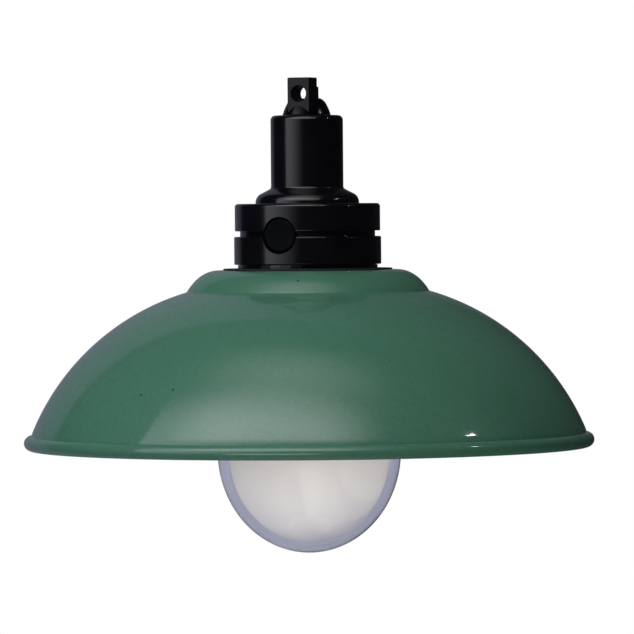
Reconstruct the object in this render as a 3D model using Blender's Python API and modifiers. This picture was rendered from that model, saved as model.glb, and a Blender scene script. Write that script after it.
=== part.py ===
"""Cordless hanging lamp: an enamelled steel shade under a black two-ring housing with a hanging lug.

The origin is the centre of the lug's hole. +Z is up, and the button faces -Y. Sizes below are in
millimetres, and heights are measured from the origin; MM turns them into Blender's metres.
"""

import math

import bmesh
import bpy
from mathutils import Vector

MM = 0.001
GAP = 0.2  # between pieces that rest on each other
FIT = 0.3  # radial clearance between pieces that slide or screw into each other
SHARP = math.radians(32)

# Hanging lug
LUG_HOLE_R = 3.55
LUG_WIDTH = 11.0
LUG_DEPTH = 9.0
LUG_FRONT = 9.4  # the post stands forward of the lamp's axis
LUG_TOP = 7.3
LUG_EDGE = 0.45
HEEL_TOP = 3.2  # below this the post is deeper at the back
HEEL_DEPTH = 11.1
DOME_BASE_R = 11.0
DOME_TOP = -2.0
DOME_SIDE = [(6.4, 0.0), (8.3, 1.5), (9.4, 3.4), (10.3, 5.4)]  # radius, and how far below the top
SHANK_WIDTH = 8.0
STUD_R = 3.9
STUD_END = -17.5

# Upper housing: battery tube, flare and upper ring
HOUSING_TOP = -9.8
TUBE_R = 16.5
TUBE_CORNER_R = 2.2
TUBE_BOTTOM = -42.1
WALL = 2.2
FLARE_R = 23.6
FLARE_ARC_R = 4.5
FLARE_FILLET_R = 1.5
UPPER_RING_R = 33.1
UPPER_RING_TOP = -49.9
UPPER_RING_BOTTOM = -62.4
RING_CORNER_R = 1.5
RING_EDGE = 0.5

# Lower housing: lower ring with a collar that shows as the groove between the rings
COLLAR_R = 30.75
COLLAR_TOP = -59.2
LOWER_RING_R = 33.5
LOWER_RING_TOP = -64.9
LOWER_RING_BOTTOM = -77.6

# Base plate with the spigot that passes down through the shade
BASE_R = 31.9
BASE_BOTTOM = -79.2
SPIGOT_R = 20.5
SPIGOT_INSIDE_R = 18.2
SPIGOT_BOTTOM = -92.0
SPIGOT_FLOOR = 2.0

# Screws that clamp the base plate, the driver board and the upper housing together
SCREW_CIRCLE_R = 24.8
SCREW_R = 1.4
SCREW_HOLE_R = 1.7
SCREW_HEAD_R = 2.7
SCREW_HEAD = 1.5
BOSS_R = 3.0

# Shade: flat neck, elliptical shoulder, circular bowl and rolled rim
SHADE_TOP = -80.1
SHADE_SHEET = 0.8
SHADE_HOLE_R = 21.0
NECK_FLAT_R = 41.0
SHOULDER_A = 20.8
SHOULDER_B = 34.7
CREASE_DROP = 9.5
BOWL_ARC_R = 109.7
BOWL_CENTRE = (24.7, -195.3)
RIM_R = 130.0
BEAD_R = 3.3
BEAD_CENTRE_Z = -158.0
BEAD_TURN = 312  # degrees that the sheet is rolled through

# Globe, diffuser and the holder that they screw into
HOLDER_R = 44.3
HOLDER_TOP = -92.2
HOLDER_PLATE = 3.0
HOLDER_BOTTOM = -106.2
GLOBE_R = 41.8
GLOBE_WALL = 1.6
GLOBE_TOP = -98.0
GLOBE_EQUATOR = -162.6
GLOBE_BOTTOM = -209.0
DIFFUSER_R = 36.8
DIFFUSER_WALL = 1.2
DIFFUSER_TOP = -96.6
DIFFUSER_BOTTOM = -204.2
SEAL_TOP = -95.4
SEAL_THICK = 1.0

# Light engine
SPREADER_R = 30.0
SPREADER_TOP = -95.4
SPREADER_THICK = 3.0
LED_BOARD_R = 26.0
LED_BOARD_TOP = -98.6
BOARD_THICK = 1.6
EMITTER_R = 9.0
LED_SCREW_CIRCLE_R = 15.0
WIRE_HOLE = (0.0, -14.6)
WIRE_HOLE_R = 3.4

# Battery, driver board, switch and charging socket
CELL_R = 9.2
CELL_TOP = -20.4
CELL_LENGTH = 65.0
CRADLE_R = 11.0
CRADLE_INSIDE_R = 9.6
CRADLE_TOP = -18.2
BOARD_TOP = -70.5
BOARD_R = 27.9
BOARD_HOLE_R = 11.6
WIRE_R = 0.6
BUTTON_Z = -64.3
BUTTON_R = 7.6
BUTTON_FACE = 32.3  # how far the face stands in front of the axis
BUTTON_DEPTH = 6.5
BUTTON_FLANGE_R = 9.2
POCKET_EDGE = 0.5  # chamfer at the mouth of the button's pocket
SWITCH_FRONT = 24.2
PLUNGER_R = 1.8
PORT_Z = -68.7
SOCKET_SIZE = (9.0, 7.2, 3.2)
SOCKET_MOUTH = 30.2
FLAP_WIDTH = 13.2
FLAP_BOTTOM = -74.2
FLAP_TOP = -66.3
FLAP_INSIDE_R = 31.95
FLAP_OUTSIDE_R = 33.45

PARTS = "hanging_lamp"
CUTTERS = "cutters"

BLACK_PLASTIC = ("black plastic", (0.010, 0.010, 0.013), 0.28, 0.0)
SATIN_BLACK = ("satin black plastic", (0.016, 0.016, 0.019), 0.5, 0.0)
GREEN_ENAMEL = ("green enamel", (0.062, 0.178, 0.126), 0.25, 0.3)
BLACK_RUBBER = ("black rubber", (0.012, 0.012, 0.012), 0.8, 0.0)
CLEAR_PLASTIC = ("clear plastic", (0.92, 0.93, 0.96), 0.04, 0.0)
FROSTED_PLASTIC = ("frosted plastic", (0.85, 0.85, 0.86), 0.6, 0.0)
STEEL = ("zinc plated steel", (0.55, 0.55, 0.56), 0.3, 1.0)
BRASS = ("brass", (0.72, 0.52, 0.22), 0.3, 1.0)
ALUMINIUM = ("aluminium", (0.78, 0.78, 0.8), 0.35, 1.0)
CIRCUIT_BOARD = ("circuit board", (0.02, 0.14, 0.06), 0.45, 0.0)
WHITE_BOARD = ("white board", (0.86, 0.86, 0.84), 0.4, 0.0)
PHOSPHOR = ("phosphor", (0.9, 0.72, 0.12), 0.5, 0.0)
CELL_WRAP = ("cell wrap", (0.06, 0.2, 0.42), 0.35, 0.0)
RED_WIRE = ("red wire", (0.55, 0.03, 0.03), 0.5, 0.0)
BLACK_WIRE = ("black wire", (0.02, 0.02, 0.02), 0.5, 0.0)


# ---------------------------------------------------------------- scene and materials


def clear_scene():
    for obj in list(bpy.data.objects):
        bpy.data.objects.remove(obj, do_unlink=True)


def collection(name):
    found = bpy.data.collections.get(name)
    if found is None:
        found = bpy.data.collections.new(name)
        bpy.context.scene.collection.children.link(found)
    return found


def material(look):
    name, colour, roughness, metallic = look
    found = bpy.data.materials.get(name)
    if found is None:
        found = bpy.data.materials.new(name)
        found.use_nodes = True
        shader = found.node_tree.nodes["Principled BSDF"]
        shader.inputs["Base Color"].default_value = (*colour, 1.0)
        shader.inputs["Roughness"].default_value = roughness
        shader.inputs["Metallic"].default_value = metallic
        if look in (CLEAR_PLASTIC, FROSTED_PLASTIC):
            shader.inputs["Transmission Weight"].default_value = 0.9
            shader.inputs["IOR"].default_value = 1.49
    return found


def empty(name, place, parent=None):
    """An empty on a joint's axis, or the one that holds the whole lamp."""
    obj = bpy.data.objects.new(name, None)
    obj.empty_display_size = 0.01
    obj.location = Vector(place) * MM
    obj.parent = parent
    collection(PARTS).objects.link(obj)
    return obj


def smooth(mesh):
    mesh.shade_smooth()
    mesh.set_sharp_from_angle(angle=SHARP)


def add_object(name, mesh, look, place, parent):
    """Put a mesh in the lamp, with its origin at a place given in the lamp's frame."""
    obj = bpy.data.objects.new(name, mesh)
    collection(PARTS).objects.link(obj)
    if look:
        mesh.materials.append(material(look))
    obj.location = Vector(place) * MM
    if parent:
        obj.parent = parent
        obj.location -= parent.location
    return obj


def as_cutter(obj):
    """A helper shape for a Boolean, which is never part of the lamp itself."""
    collection(PARTS).objects.unlink(obj)
    collection(CUTTERS).objects.link(obj)
    obj.hide_render = True
    obj.display_type = "WIRE"
    return obj


def boolean(obj, operation, *tools):
    for tool in tools:
        modifier = obj.modifiers.new(tool.name, "BOOLEAN")
        modifier.operation = operation
        modifier.object = as_cutter(tool)


def apply_modifiers(obj):
    graph = bpy.context.evaluated_depsgraph_get()
    made = bpy.data.meshes.new_from_object(obj.evaluated_get(graph))
    drawn = obj.data
    obj.modifiers.clear()
    obj.data = made
    bpy.data.meshes.remove(drawn)
    made.name = obj.name
    smooth(made)


# ---------------------------------------------------------------- shapes


def arc(centre, radius, start, end, count):
    """Points of (radius, height) round a centre, from one angle in degrees to another."""
    angles = [math.radians(start + (end - start) * i / count) for i in range(count + 1)]
    return [(centre[0] + radius * math.cos(a), centre[1] + radius * math.sin(a)) for a in angles]


def half_ellipse(radius, equator, bottom, count):
    """The lower quarter of an ellipse, from its widest point down to the axis."""
    depth = equator - bottom
    angles = [math.pi / 2 * i / count for i in range(count + 1)]
    return [(radius * math.cos(a), equator - depth * math.sin(a)) for a in angles[:-1]] + [(0, bottom)]


def turned(name, profile, look=None, steps=40, place=(0, 0, 0), parent=None, loop=True, sheet=0.0):
    """Turn a profile of (radius, height) points once round Z. A sheet is thickened inwards."""
    drop = place[2]
    points = [(r * MM, 0.0, (z - drop) * MM) for r, z in profile]
    count = len(points)
    edges = [(i, (i + 1) % count) for i in range(count if loop else count - 1)]
    mesh = bpy.data.meshes.new(name)
    mesh.from_pydata(points, edges, [])
    obj = add_object(name, mesh, look, place, parent)
    screw = obj.modifiers.new("Turn", "SCREW")
    screw.steps = steps
    screw.render_steps = steps
    screw.use_merge_vertices = True
    screw.merge_threshold = 0.00001
    if sheet:
        shell = obj.modifiers.new("Sheet", "SOLIDIFY")
        shell.thickness = sheet * MM
        shell.offset = -1.0
        shell.use_even_offset = True
    apply_modifiers(obj)
    return obj


def solid_turned(name, profile, look=None, **settings):
    """A turned shape whose profile starts and ends on the axis."""
    return turned(name, profile, look, loop=False, **settings)


def ring(name, inside, outside, top, bottom, look=None, **settings):
    profile = [(outside, top), (outside, bottom), (inside, bottom), (inside, top)]
    return turned(name, profile, look, **settings)


def box(name, size, centre, look=None, parent=None, bevel=0.0):
    bm = bmesh.new()
    bmesh.ops.create_cube(bm, size=1.0)
    bmesh.ops.scale(bm, vec=Vector(size) * MM, verts=bm.verts)
    mesh = bpy.data.meshes.new(name)
    bm.to_mesh(mesh)
    bm.free()
    obj = add_object(name, mesh, look, centre, parent)
    if bevel:
        edge = obj.modifiers.new("Edge", "BEVEL")
        edge.width = bevel * MM
        edge.segments = 2
        apply_modifiers(obj)
    return obj


def rod(name, radius, start, end, look=None, parent=None, sides=24):
    """A straight round rod between two places, with its origin at its middle."""
    start, end = Vector(start), Vector(end)
    along = end - start
    bm = bmesh.new()
    bmesh.ops.create_cone(
        bm,
        cap_ends=True,
        segments=sides,
        radius1=radius * MM,
        radius2=radius * MM,
        depth=along.length * MM,
        matrix=along.to_track_quat("Z", "Y").to_matrix().to_4x4(),
    )
    mesh = bpy.data.meshes.new(name)
    bm.to_mesh(mesh)
    bm.free()
    smooth(mesh)
    return add_object(name, mesh, look, (start + end) / 2, parent)


def wire(name, route, look, parent, radius=WIRE_R):
    """A wire along a list of places, as a round curve with closed ends."""
    curve = bpy.data.curves.new(name, "CURVE")
    curve.dimensions = "3D"
    curve.bevel_depth = radius * MM
    curve.bevel_resolution = 2
    curve.use_fill_caps = True
    spline = curve.splines.new("POLY")
    spline.points.add(len(route) - 1)
    for point, place in zip(spline.points, route):
        point.co = (*(Vector(place) * MM), 1.0)
    obj = add_object(name, curve, None, (0, 0, 0), parent)
    curve.materials.append(material(look))
    return obj


def bezier(points, count):
    """Places along a cubic Bezier curve."""
    a, b, c, d = (Vector(p) for p in points)
    route = []
    for i in range(count + 1):
        t = i / count
        u = 1 - t
        route.append(a * u**3 + b * 3 * u * u * t + c * 3 * u * t * t + d * t**3)
    return route


def on_circle(radius, degrees, height):
    angle = math.radians(degrees)
    return (radius * math.cos(angle), radius * math.sin(angle), height)


# ---------------------------------------------------------------- lug and housings


def hanging_lug(lamp):
    """A square post with a cross hole, on a low dome, with a square shank and a stud under it."""
    base = HOUSING_TOP + GAP
    side = [(radius, DOME_TOP - drop) for radius, drop in DOME_SIDE]
    profile = [(0, DOME_TOP), *side, (DOME_BASE_R, base), (0, base)]
    lug = solid_turned("hanging_lug", profile, BLACK_PLASTIC, steps=24, parent=lamp)

    foot = base + 1.0
    post = box(
        "lug_post",
        (LUG_WIDTH, LUG_DEPTH, LUG_TOP - foot),
        (0, LUG_DEPTH / 2 - LUG_FRONT, (LUG_TOP + foot) / 2),
        bevel=LUG_EDGE,
    )
    heel_front = LUG_DEPTH - LUG_FRONT - 2.0
    heel_back = HEEL_DEPTH - LUG_FRONT
    heel = box(
        "lug_heel",
        (LUG_WIDTH - 0.2, heel_back - heel_front, HEEL_TOP - foot),
        (0, (heel_front + heel_back) / 2, (HEEL_TOP + foot) / 2),
        bevel=LUG_EDGE,
    )
    shank_end = HOUSING_TOP - WALL - 0.3
    shank = box(
        "lug_shank",
        (SHANK_WIDTH, SHANK_WIDTH, base + 1.0 - shank_end),
        (0, 0, (base + 1.0 + shank_end) / 2),
    )
    stud = rod("lug_stud", STUD_R, (0, 0, shank_end + 1.0), (0, 0, STUD_END))
    boolean(lug, "UNION", post, heel, shank, stud)
    hole = rod("lug_hole", LUG_HOLE_R, (0, -20, 0), (0, 20, 0))
    boolean(lug, "DIFFERENCE", hole)


def lug_fixings(lamp):
    washer_top = HOUSING_TOP - WALL - 0.5
    nut_top = washer_top - 1.0
    ring("lug_washer", STUD_R + FIT, 8.6, washer_top, washer_top - 0.8, STEEL, steps=24, parent=lamp)
    nut = rod("lug_nut", 7.2, (0, 0, nut_top), (0, 0, nut_top - 3.4), STEEL, lamp, sides=6)
    thread = rod("lug_nut_thread", STUD_R + FIT, (0, 0, nut_top + 1), (0, 0, nut_top - 5))
    boolean(nut, "DIFFERENCE", thread)


def upper_housing_profile():
    """Down the outside from the middle of the top, and back up the inside."""
    top_corner = arc((TUBE_R - TUBE_CORNER_R, HOUSING_TOP - TUBE_CORNER_R), TUBE_CORNER_R, 90, 0, 2)
    fillet = arc((TUBE_R + FLARE_FILLET_R, TUBE_BOTTOM), FLARE_FILLET_R, 180, 243, 2)
    flare_centre = (FLARE_R - FLARE_ARC_R, UPPER_RING_TOP + 0.5)
    flare = arc(flare_centre, FLARE_ARC_R, 62, 0, 3)
    ring_corner_centre = (UPPER_RING_R - RING_CORNER_R, UPPER_RING_TOP - RING_CORNER_R)
    ring_corner = arc(ring_corner_centre, RING_CORNER_R, 90, 0, 2)
    inside_r = COLLAR_R + FIT
    tube_inside = TUBE_R - WALL
    flare_inside = FLARE_R - WALL + 0.2
    under_top = UPPER_RING_TOP - WALL - 0.1
    return [
        (0, HOUSING_TOP),
        *top_corner,
        *fillet,
        *flare,
        (FLARE_R, UPPER_RING_TOP),
        *ring_corner,
        (UPPER_RING_R, UPPER_RING_BOTTOM + RING_EDGE),
        (UPPER_RING_R - RING_EDGE, UPPER_RING_BOTTOM),
        (inside_r, UPPER_RING_BOTTOM),
        (inside_r, under_top),
        (flare_inside, under_top),
        (flare_inside, under_top + 3.2),
        (tube_inside, TUBE_BOTTOM - FLARE_FILLET_R),
        (tube_inside, HOUSING_TOP - WALL - 0.3),
        (0, HOUSING_TOP - WALL - 0.3),
    ]


def screw_angles():
    return [45, 135, 225, 315]


def button_cutter(name):
    """The round pocket for the button, across both rings, with a bevelled mouth."""
    pocket_r = BUTTON_R + FIT
    profile = [
        (0, 4.0),
        (pocket_r + POCKET_EDGE, 4.0),
        (pocket_r + POCKET_EDGE, 0.6),
        (pocket_r, 0.6 - 2 * POCKET_EDGE),
        (pocket_r, -BUTTON_DEPTH + 0.2),
        (0, -BUTTON_DEPTH + 0.2),
    ]
    cutter = solid_turned(name, profile, steps=32)
    cutter.rotation_euler = (math.pi / 2, 0, 0)
    cutter.location = Vector((0, -BUTTON_FACE, BUTTON_Z)) * MM
    return cutter


def upper_housing(lamp):
    housing = solid_turned(
        "upper_housing",
        upper_housing_profile(),
        BLACK_PLASTIC,
        steps=40,
        place=(0, 0, HOUSING_TOP),
        parent=lamp,
    )
    boss_end = BOARD_TOP + GAP
    boss_root = UPPER_RING_TOP - 1.0
    for i, angle in enumerate(screw_angles(), 1):
        place = [on_circle(SCREW_CIRCLE_R, angle, z) for z in (boss_root, boss_end)]
        boolean(housing, "UNION", rod(f"upper_boss_{i}", BOSS_R, *place, sides=12))
    for i, angle in enumerate(screw_angles(), 1):
        place = [on_circle(SCREW_CIRCLE_R, angle, z) for z in (boss_end + 12, boss_end - 2)]
        boolean(housing, "DIFFERENCE", rod(f"upper_pilot_{i}", SCREW_HOLE_R, *place, sides=12))
    width = SHANK_WIDTH + 2 * FIT
    shank_hole = box("shank_hole", (width, width, 8), (0, 0, HOUSING_TOP - 1))
    boolean(housing, "DIFFERENCE", shank_hole, button_cutter("upper_button_pocket"))


def port_sector(name, inside, outside, margin):
    """A short sector of a ring behind the charging port: the flap, or the recess that it lies in."""
    top, bottom = FLAP_TOP + margin, FLAP_BOTTOM - margin
    sector = ring(name, inside, outside, top, bottom, steps=72)
    window = box(
        name + "_window",
        (FLAP_WIDTH + 2 * margin, 20, top - bottom + 4),
        (0, LOWER_RING_R, (top + bottom) / 2),
    )
    boolean(sector, "INTERSECT", window)
    apply_modifiers(sector)
    return sector


def lower_housing(lamp):
    inside_r = LOWER_RING_R - 2.5
    collar_inside_r = COLLAR_R - 2.15
    profile = [
        (COLLAR_R, COLLAR_TOP),
        (COLLAR_R, LOWER_RING_TOP),
        (LOWER_RING_R - RING_EDGE, LOWER_RING_TOP),
        (LOWER_RING_R, LOWER_RING_TOP - RING_EDGE),
        (LOWER_RING_R, LOWER_RING_BOTTOM + RING_EDGE),
        (LOWER_RING_R - RING_EDGE, LOWER_RING_BOTTOM),
        (inside_r, LOWER_RING_BOTTOM),
        (inside_r, LOWER_RING_TOP - 2.0),
        (collar_inside_r, LOWER_RING_TOP - 1.0),
        (collar_inside_r, COLLAR_TOP),
    ]
    place = (0, 0, LOWER_RING_BOTTOM)
    housing = turned("lower_housing", profile, BLACK_PLASTIC, steps=40, place=place, parent=lamp)
    recess = port_sector("port_recess", FLAP_INSIDE_R - 0.25, LOWER_RING_R + 3, 0.3)
    width = SOCKET_SIZE[0] + 0.8
    hole = box("port_hole", (width, 10, 4.4), (0, LOWER_RING_R, PORT_Z))
    boolean(housing, "DIFFERENCE", button_cutter("lower_button_pocket"), recess, hole)


def base_plate(lamp):
    rim_r = LOWER_RING_R - 2.5 - FIT
    rim_top = LOWER_RING_BOTTOM + 1.8
    plate_top = BASE_BOTTOM + 2.2
    flange_top = LOWER_RING_BOTTOM - GAP
    profile = [
        (0, SPIGOT_BOTTOM + SPIGOT_FLOOR),
        (SPIGOT_INSIDE_R, SPIGOT_BOTTOM + SPIGOT_FLOOR),
        (SPIGOT_INSIDE_R, plate_top),
        (rim_r - 1.8, plate_top),
        (rim_r - 1.8, rim_top),
        (rim_r, rim_top),
        (rim_r, flange_top),
        (BASE_R, flange_top),
        (BASE_R, BASE_BOTTOM),
        (SPIGOT_R, BASE_BOTTOM),
        (SPIGOT_R, SPIGOT_BOTTOM),
        (0, SPIGOT_BOTTOM),
    ]
    plate = solid_turned(
        "base_plate", profile, BLACK_PLASTIC, steps=40, place=(0, 0, BASE_BOTTOM), parent=lamp
    )
    pillar_top = BOARD_TOP - BOARD_THICK - GAP
    head_top = BASE_BOTTOM + SCREW_HEAD + 0.4
    for i, angle in enumerate(screw_angles(), 1):
        pillar = [on_circle(SCREW_CIRCLE_R, angle, z) for z in (pillar_top, plate_top - 1)]
        boolean(plate, "UNION", rod(f"base_pillar_{i}", BOSS_R + 0.4, *pillar, sides=12))
    for i, angle in enumerate(screw_angles(), 1):
        hole = [on_circle(SCREW_CIRCLE_R, angle, z) for z in (pillar_top + 2, BASE_BOTTOM - 2)]
        sink = [on_circle(SCREW_CIRCLE_R, angle, z) for z in (head_top, BASE_BOTTOM - 2)]
        boolean(plate, "DIFFERENCE", rod(f"base_hole_{i}", SCREW_HOLE_R, *hole, sides=12))
        boolean(plate, "DIFFERENCE", rod(f"base_sink_{i}", SCREW_HEAD_R + FIT, *sink, sides=12))
    boolean(plate, "DIFFERENCE", wire_hole("base_wire_hole", SPIGOT_BOTTOM))
    for i, angle in enumerate(led_screw_angles(), 1):
        boolean(plate, "DIFFERENCE", led_screw_hole(f"base_led_hole_{i}", angle))


def pan_screw(name, place, length, look, lamp):
    """A screw pointing up, with its origin at the underside of its shallow domed head."""
    x, y, z = place
    head_bottom = z - SCREW_HEAD
    profile = [
        (0, z + length),
        (SCREW_R - 0.4, z + length),
        (SCREW_R, z + length - 0.8),
        (SCREW_R, z),
        (SCREW_HEAD_R, z),
        (SCREW_HEAD_R, head_bottom + 0.5),
        (SCREW_HEAD_R - 0.7, head_bottom),
        (0, head_bottom),
    ]
    screw = solid_turned(name, profile, look, steps=12, place=(0, 0, z), parent=lamp)
    screw.location += Vector((x, y, 0)) * MM
    slots = [
        box(f"{name}_slot_{i}", size, (x, y, head_bottom))
        for i, size in enumerate([(2.8, 0.6, 1.4), (0.6, 2.8, 1.4)], 1)
    ]
    boolean(screw, "DIFFERENCE", *slots)


def housing_screws(lamp):
    head_seat = BASE_BOTTOM + SCREW_HEAD + 0.2
    for i, angle in enumerate(screw_angles(), 1):
        place = on_circle(SCREW_CIRCLE_R, angle, head_seat)
        pan_screw(f"housing_screw_{i}", place, 17.0, STEEL, lamp)


# ---------------------------------------------------------------- battery, board and switch


def battery(lamp):
    floor = SPIGOT_BOTTOM + SPIGOT_FLOOR
    cradle_profile = [
        (0, CRADLE_TOP),
        (CRADLE_R, CRADLE_TOP),
        (CRADLE_R, floor + GAP),
        (CRADLE_INSIDE_R, floor + GAP),
        (CRADLE_INSIDE_R, CRADLE_TOP - 1.2),
        (0, CRADLE_TOP - 1.2),
    ]
    cradle = solid_turned(
        "battery_cradle", cradle_profile, SATIN_BLACK, steps=24, place=(0, 0, CRADLE_TOP), parent=lamp
    )
    middle = (CRADLE_TOP + floor) / 2
    window = box("cradle_window", (12, 17, 56), (9.2, 0, middle))
    top_slot = box("cradle_top_slot", (6, 2.4, 3.0), (-10.5, 0, CRADLE_TOP - 2.6))
    bottom_slot = box("cradle_bottom_slot", (6, 2.4, 4.0), (-10.5, 0, floor + 1.6))
    boolean(cradle, "DIFFERENCE", window, top_slot, bottom_slot)

    contact_top = CRADLE_TOP - 1.2 - GAP
    contact = [(0, contact_top), (7, contact_top), (7, contact_top - 0.5), (0, contact_top - 0.5)]
    solid_turned("battery_contact", contact, BRASS, steps=24, parent=lamp)

    cell_bottom = CELL_TOP - CELL_LENGTH
    cell = [
        (0, CELL_TOP),
        (3.6, CELL_TOP),
        (3.6, CELL_TOP - 1.0),
        (CELL_R - 0.6, CELL_TOP - 1.0),
        (CELL_R, CELL_TOP - 1.6),
        (CELL_R, cell_bottom + 0.5),
        (CELL_R - 0.5, cell_bottom),
        (0, cell_bottom),
    ]
    solid_turned("battery_cell", cell, CELL_WRAP, steps=24, place=(0, 0, CELL_TOP), parent=lamp)
    battery_spring(lamp, cell_bottom - 0.3, floor + 0.3)


def battery_spring(lamp, top, bottom):
    """A cone spring under the cell, wider at its foot."""
    wire_r = 0.4
    turns = 3
    per_turn = 10
    route = []
    for i in range(turns * per_turn + 1):
        t = i / (turns * per_turn)
        radius = 7.5 - 3.5 * t
        height = bottom + wire_r + (top - bottom - 2 * wire_r) * t
        route.append(on_circle(radius, 360 * turns * t, height))
    wire("battery_spring", route, STEEL, lamp, radius=wire_r)


def driver_board(lamp):
    bottom = BOARD_TOP - BOARD_THICK
    board = ring("driver_board", BOARD_HOLE_R, BOARD_R, BOARD_TOP, bottom, CIRCUIT_BOARD, parent=lamp)
    for i, angle in enumerate(screw_angles(), 1):
        hole = [on_circle(SCREW_CIRCLE_R, angle, z) for z in (BOARD_TOP + 2, bottom - 2)]
        boolean(board, "DIFFERENCE", rod(f"board_hole_{i}", SCREW_HOLE_R, *hole, sides=12))
    notch_depth = 6.0
    notch_y = -SWITCH_FRONT - 0.2 - notch_depth / 2
    notch = box("board_notch", (21, notch_depth, 6), (0, notch_y, BOARD_TOP))
    boolean(board, "DIFFERENCE", notch)


def switch(lamp):
    depth = 5.0
    bottom = BOARD_TOP + GAP
    top = BUTTON_Z + 3.2
    centre = (0, -SWITCH_FRONT + depth / 2, (top + bottom) / 2)
    body = box("switch_body", (6.2, depth, top - bottom), centre, SATIN_BLACK, lamp, bevel=0.3)
    bore = [(0, -SWITCH_FRONT - 2, BUTTON_Z), (0, -SWITCH_FRONT + 3.2, BUTTON_Z)]
    boolean(body, "DIFFERENCE", rod("switch_bore", PLUNGER_R + FIT, *bore))


def button(lamp):
    """The button and the switch plunger behind it slide together along Y."""
    axis = empty("button_slide", (0, -BUTTON_FACE, BUTTON_Z), lamp)
    profile = [
        (0, -0.35),
        (3.6, -0.27),
        (6.4, 0),
        (7.1, -0.1),
        (BUTTON_R, -0.6),
        (BUTTON_R, -5.5),
        (BUTTON_FLANGE_R, -5.5),
        (BUTTON_FLANGE_R, -BUTTON_DEPTH),
        (6.2, -BUTTON_DEPTH),
        (6.2, -1.6),
        (2.0, -1.6),
        (2.0, -BUTTON_DEPTH),
        (0, -BUTTON_DEPTH),
    ]
    cap = solid_turned("button", profile, SATIN_BLACK, steps=32)
    cap.rotation_euler = (math.pi / 2, 0, 0)
    cap.parent = axis
    back = -BUTTON_FACE + BUTTON_DEPTH + GAP
    ends = [(0, back, BUTTON_Z), (0, back + 3.0, BUTTON_Z)]
    plunger = rod("switch_plunger", PLUNGER_R, *ends, WHITE_BOARD)
    plunger.location -= axis.location
    plunger.parent = axis


def charging_port(lamp):
    width, depth, height = SOCKET_SIZE
    centre_y = SOCKET_MOUTH - depth / 2
    socket = box("charging_socket", SOCKET_SIZE, (0, centre_y, PORT_Z), STEEL, lamp, bevel=0.6)
    cavity_size = (width - 1.2, depth, height - 1.2)
    cavity = box("socket_cavity", cavity_size, (0, centre_y + 1.2, PORT_Z), bevel=0.3)
    boolean(socket, "DIFFERENCE", cavity)

    hinge = empty("flap_hinge", (0, FLAP_OUTSIDE_R, FLAP_BOTTOM), lamp)
    flap = port_sector("port_flap", FLAP_INSIDE_R, FLAP_OUTSIDE_R, 0.0)
    flap.data.materials.append(material(BLACK_RUBBER))
    plug = box("flap_plug", (width, 2.2, 3.4), (0, FLAP_INSIDE_R - 0.35, PORT_Z), bevel=0.3)
    boolean(flap, "UNION", plug)
    flap.parent = hinge
    flap.location -= hinge.location


def wires(lamp):
    underside = BOARD_TOP - BOARD_THICK - 0.4
    board_back = LED_BOARD_TOP + GAP
    for name, side, look in (("led_wire_red", 1, RED_WIRE), ("led_wire_black", -1, BLACK_WIRE)):
        x = 1.6 * side
        y = WIRE_HOLE[1]
        bend = [(x, y, underside), (x * 1.5, y - 1.2, -80), (x, y, -86), (x, y, board_back)]
        wire(name, bezier(bend, 8), look, lamp)

    side_x = -(TUBE_R - WALL + CRADLE_R) / 2
    red = bezier([(-7.4, 0, -20.3), (-10, 0, -20.3), (side_x, 0, -20.6), (side_x, 0, -25)], 5)
    red += [Vector((side_x, 0, BOARD_TOP + 0.4))]
    wire("battery_wire_red", red, RED_WIRE, lamp)
    black = bezier([(-8.6, 0, -88.6), (-11, 0, -88.6), (side_x, 0, -88), (side_x, 0, -84)], 5)
    black += [Vector((side_x, 0, underside))]
    wire("battery_wire_black", black, BLACK_WIRE, lamp)


# ---------------------------------------------------------------- shade


def shade_profile():
    """The outer face of the sheet, from the hole's edge out to the end of the rolled rim."""
    drops = [CREASE_DROP * (i / 3) ** 1.8 for i in range(4)]
    shoulder = [
        (
            NECK_FLAT_R + SHOULDER_A * math.sqrt(1 - (1 - drop / SHOULDER_B) ** 2),
            SHADE_TOP - drop,
        )
        for drop in drops
    ]
    crease_r = shoulder[-1][0]
    bead_centre = (RIM_R - BEAD_R, BEAD_CENTRE_Z)
    bead_start = 94
    bead = arc(bead_centre, BEAD_R, bead_start, bead_start - BEAD_TURN, 8)
    start = math.degrees(math.acos((crease_r - BOWL_CENTRE[0]) / BOWL_ARC_R))
    end = math.degrees(math.asin((bead[0][1] - BOWL_CENTRE[1]) / BOWL_ARC_R))
    bowl = arc(BOWL_CENTRE, BOWL_ARC_R, start, end, 6)
    return [(SHADE_HOLE_R, SHADE_TOP), *shoulder, *bowl[1:-1], *bead]


def shade(lamp):
    place = (0, 0, SHADE_TOP)
    turned(
        "shade",
        shade_profile(),
        GREEN_ENAMEL,
        steps=48,
        place=place,
        parent=lamp,
        loop=False,
        sheet=SHADE_SHEET,
    )
    gasket_top = BASE_BOTTOM - 0.15
    gasket_bottom = SHADE_TOP + 0.15
    ring("shade_gasket", SPIGOT_R + FIT, 38.5, gasket_top, gasket_bottom, BLACK_RUBBER, parent=lamp)
    nut_top = SHADE_TOP - SHADE_SHEET - GAP
    nut_r = 29.5
    nut = ring("shade_nut", SPIGOT_R + FIT, nut_r, nut_top, nut_top - 6, SATIN_BLACK, parent=lamp)
    for i in range(6):
        ends = [on_circle(nut_r + 1.0, 60 * i, z) for z in (nut_top + 2, nut_top - 8)]
        boolean(nut, "DIFFERENCE", rod(f"nut_grip_{i + 1}", 2.8, *ends, sides=12))


# ---------------------------------------------------------------- light engine and globe


def led_screw_angles():
    return [90, 210, 330]


def wire_hole(name, height):
    x, y = WIRE_HOLE
    return rod(name, WIRE_HOLE_R, (x, y, height + 8), (x, y, height - 8), sides=16)


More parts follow.
